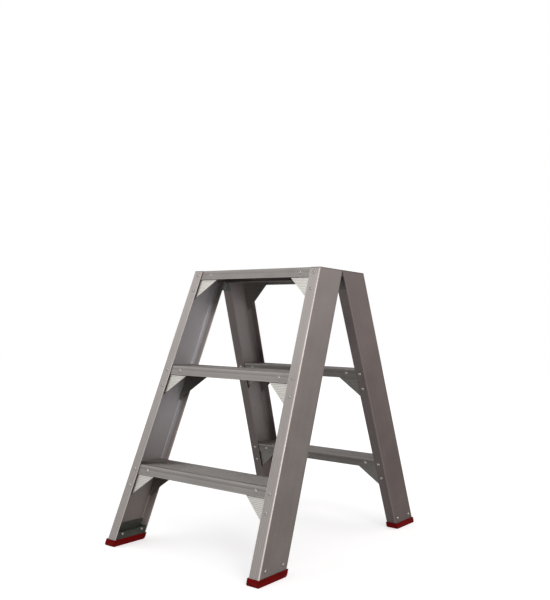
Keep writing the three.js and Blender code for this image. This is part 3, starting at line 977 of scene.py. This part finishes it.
# Light of the studio by direction: how bright it is against how far up and frontwards it lies.
STUDIO_LEAN = (0.2, -0.4, 0.9)
STUDIO_RANGE = 1.0
STUDIO_TONES = {
    -1.0: 0.12, -0.7: 0.21, -0.38: 0.30, -0.27: 0.34, -0.14: 0.43,
    0.3: 0.61, 0.6: 0.72, 0.8: 0.64, 1.0: 0.46,
}
STUDIO_LEFT = (0.97, 0.98, 1.0, 1)
STUDIO_RIGHT = (1.0, 0.93, 0.92, 1)
STUDIO_BLEND = 0.6                      # how far to each side the tint changes


def pale_floor():
    """A pale floor, which the camera sees but which neither lights the object nor is mirrored in it."""
    mesh = bmesh.new()
    bmesh.ops.create_grid(mesh, x_segments=1, y_segments=1, size=FLOOR_SIZE)
    floor = to_object(mesh, "floor")
    shade = Shade("pale_floor", 0.0)
    tone = shade.noise(shade.object, 3, 3)
    base = shade.mix(tone, (0.80, 0.80, 0.80, 1), (0.84, 0.84, 0.84, 1))
    shade.shader.inputs["Specular IOR Level"].default_value = 0.0
    shade.shader.inputs["Emission Color"].default_value = WHITE
    shade.shader.inputs["Emission Strength"].default_value = FLOOR_GLOW
    floor.data.materials.append(shade.finish(base, shade.between(tone, 0.3, 0.7, 0.75, 0.85), tone, 0.0001))
    floor.visible_diffuse = False
    floor.visible_glossy = False


def soft_sun(name, towards, power, angle):
    """A large far-off lamp that lies in the direction `towards`."""
    light = bpy.data.lights.new(name, "SUN")
    light.energy = power
    light.angle = math.radians(angle)
    link(name, light).rotation_euler = Vector(towards).to_track_quat("Z", "Y").to_euler()


def studio_colour(sky):
    """The studio's light by direction, a little warmer on the right."""
    direction = sky.add("TexCoord").outputs["Generated"]
    leaning = sky.add("VectorMath", {0: direction, 1: STUDIO_LEAN}, operation="DOT_PRODUCT")
    ramp = sky.add("ValToRGB", {0: sky.between(leaning.outputs["Value"], -STUDIO_RANGE, STUDIO_RANGE)})
    stops = ramp.color_ramp.elements
    for lean, tone in STUDIO_TONES.items():
        at = (lean + STUDIO_RANGE) / (2 * STUDIO_RANGE)
        stop = stops[0] if at <= 0 else stops[-1] if at >= 1 else stops.new(at)
        stop.color = (tone, tone, tone, 1)
    sideways = sky.add("SeparateXYZ", {0: direction}).outputs[0]
    tint = sky.mix(sky.between(sideways, -STUDIO_BLEND, STUDIO_BLEND), STUDIO_LEFT, STUDIO_RIGHT)
    return sky.mix(1.0, ramp.outputs[0], tint, "MULTIPLY")


def studio():
    """A bright studio above and in front, dim below; the camera sees it as plain white."""
    world = bpy.data.worlds.new("studio")
    bpy.context.scene.world = world
    world.use_nodes = True
    sky = Nodes(world.node_tree)
    light = sky.nodes["Background"]
    sky.feed(light.inputs["Color"], studio_colour(sky))
    seen = sky.add("Background", {"Color": WHITE})
    camera_ray = sky.add("LightPath").outputs["Is Camera Ray"]
    mixed = sky.add("MixShader", {0: camera_ray, 1: light.outputs[0], 2: seen.outputs[0]})
    sky.feed(sky.nodes["World Output"].inputs[0], mixed.outputs[0])
    soft_sun("key", (-0.6, -0.58, 0.54), power=0.3, angle=50)
    soft_sun("edge", (0.73, -0.45, 0.475), power=0.45, angle=20)
    bpy.context.scene.view_settings.view_transform = "Standard"


# ---- Camera --------------------------------------------------------------------------------------

CAMERA_PLACE = (1.162, -1.589, 0.544)
CAMERA_YAW = math.radians(36.95)        # from +Y towards -X
CAMERA_PITCH = math.radians(-4.54)
CAMERA_ROLL = math.radians(1.44)
CAMERA_LENS = 44.34
CAMERA_SENSOR = 36
CAMERA_SHIFT = (0.017, 0.150)
CAMERA_SIGHT = 40                       # metres


def camera():
    """The view from the right of the front frame, at about three quarters of the ladder's height."""
    data = bpy.data.cameras.new("camera")
    data.lens = CAMERA_LENS
    data.sensor_width = CAMERA_SENSOR
    data.shift_x, data.shift_y = CAMERA_SHIFT
    data.clip_end = CAMERA_SIGHT
    made = link("camera", data)
    turn = (Matrix.Rotation(CAMERA_YAW, 4, "Z") @ Matrix.Rotation(math.pi / 2 + CAMERA_PITCH, 4, "X")
            @ Matrix.Rotation(CAMERA_ROLL, 4, "Z"))
    made.matrix_world = Matrix.Translation(CAMERA_PLACE) @ turn
    bpy.context.scene.camera = made


camera()
studio()
pale_floor()
build_ladder()
